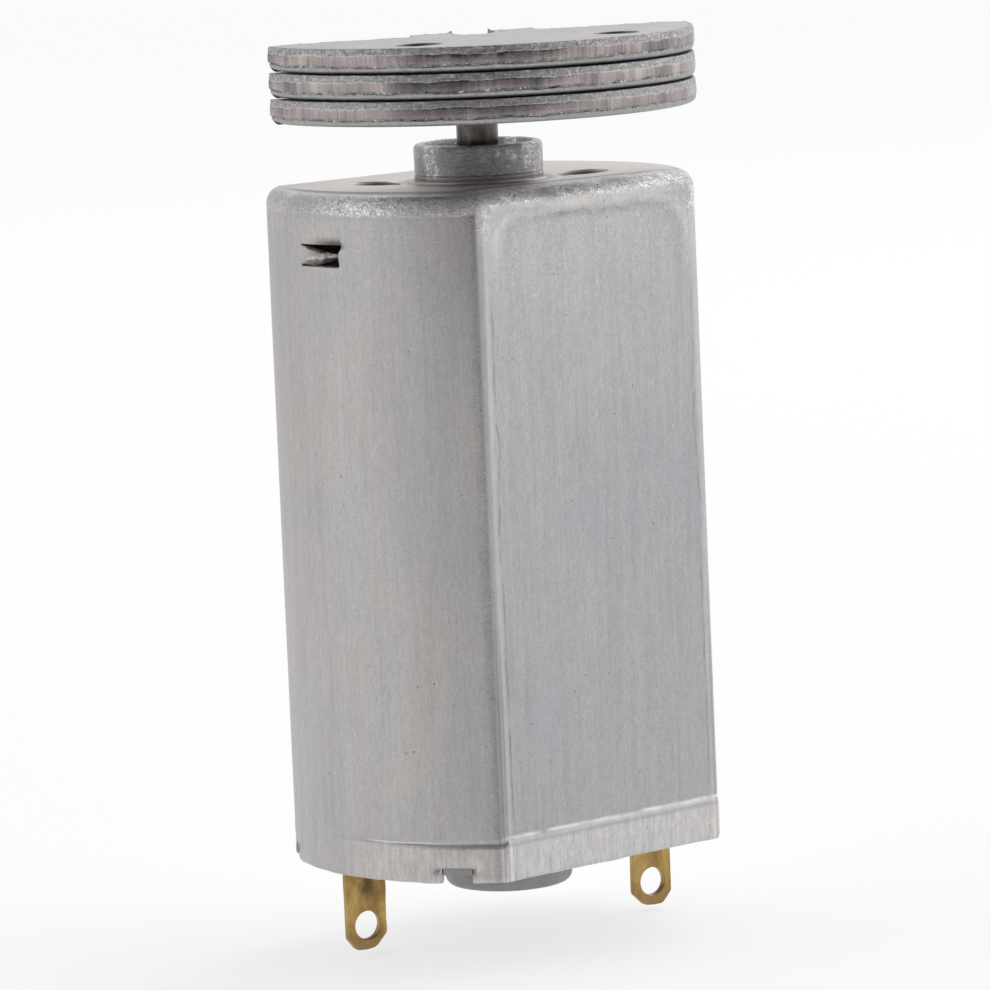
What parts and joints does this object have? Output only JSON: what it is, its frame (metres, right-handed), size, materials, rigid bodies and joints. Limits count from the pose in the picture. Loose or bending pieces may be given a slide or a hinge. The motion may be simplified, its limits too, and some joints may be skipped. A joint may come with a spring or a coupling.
{
  "type": "eccentric vibration motor",
  "caption": "Flat-sided brushed DC motor whose shaft carries a stack of eccentric half-disc plates, for shaking or massaging devices.",
  "frame": {"origin": "centre of the can's front mounting face, on the shaft axis", "axes": "+Z along the shaft out of the motor, X the long way across the can's round sides, Y across the two flats"},
  "size_m": [0.0208, 0.0182, 0.0432],
  "materials": {
    "blanked_steel": "blanked steel plate with burnished cut edge",
    "carbon": "copper-graphite",
    "coil_copper": "enamelled copper wire",
    "commutator_copper": "turned copper",
    "core_steel": "electrical steel sheet",
    "damper_rubber": "rubber pad",
    "end_cap_steel": "dull plated steel",
    "ferrite": "sintered ferrite",
    "fibre": "washer fibre",
    "ground_steel": "ground bright steel",
    "insulator_green": "insulating board",
    "leaf_copper": "spring copper alloy",
    "moulded_nylon": "moulded nylon",
    "phenolic": "moulded phenolic",
    "sintered_bronze": "porous sintered bronze",
    "spark_ceramic": "ceramic ring",
    "spring_steel": "drawn spring wire",
    "terminal_brass": "tarnished stamped brass",
    "zinc_steel": "dull zinc-plated drawn steel, fine vertical draw lines"
  },
  "bodies": {
    "motor_case": {"can": "zinc_steel", "front_bearing": "sintered_bronze", "magnet_left": "ferrite", "magnet_right": "ferrite", "magnet_spring_front": "spring_steel", "magnet_spring_back": "spring_steel", "end_cap": "end_cap_steel", "rear_bearing": "sintered_bronze", "brush_holder": "moulded_nylon", "terminal_left": "terminal_brass", "terminal_right": "terminal_brass"},
    "brush_arm_left": {"brush_leaf_left": "leaf_copper", "brush_left": "carbon", "leaf_damper_left": "damper_rubber"},
    "brush_arm_right": {"brush_leaf_right": "leaf_copper", "brush_right": "carbon", "leaf_damper_right": "damper_rubber"},
    "rotor": {"shaft": "ground_steel", "armature_laminations": "core_steel", "core_insulator_front": "insulator_green", "core_insulator_rear": "insulator_green", "coil_1": "coil_copper", "coil_2": "coil_copper", "coil_3": "coil_copper", "spacer_bush": "moulded_nylon", "thrust_washer_front": "fibre", "thrust_washer_inner": "ground_steel", "thrust_washer_rear": "fibre", "oil_washer": "moulded_nylon", "commutator_base": "phenolic", "commutator_segment_1": "commutator_copper", "commutator_segment_2": "commutator_copper", "commutator_segment_3": "commutator_copper", "commutator_ring": "phenolic", "spark_ring": "spark_ceramic", "eccentric_plate_bottom": "blanked_steel", "eccentric_plate_middle": "blanked_steel", "eccentric_plate_top": "blanked_steel"}
  },
  "joints": [
    {"name": "rotor_spin", "type": "hinge", "parent": "motor_case", "child": "rotor", "pos_m": [0, 0, 0], "axis": [0, 0, 1], "continuous": true},
    {"name": "brush_left_flex", "type": "hinge", "parent": "motor_case", "child": "brush_arm_left", "pos_m": [-0.00645, 0.00375, -0.0257], "axis": [0, 0, 1], "range_deg": [0, 4], "stiffness_Nm_per_rad": 0.002},
    {"name": "brush_right_flex", "type": "hinge", "parent": "motor_case", "child": "brush_arm_right", "pos_m": [0.00645, -0.00375, -0.0257], "axis": [0, 0, 1], "range_deg": [0, 4], "stiffness_Nm_per_rad": 0.002}
  ]
}
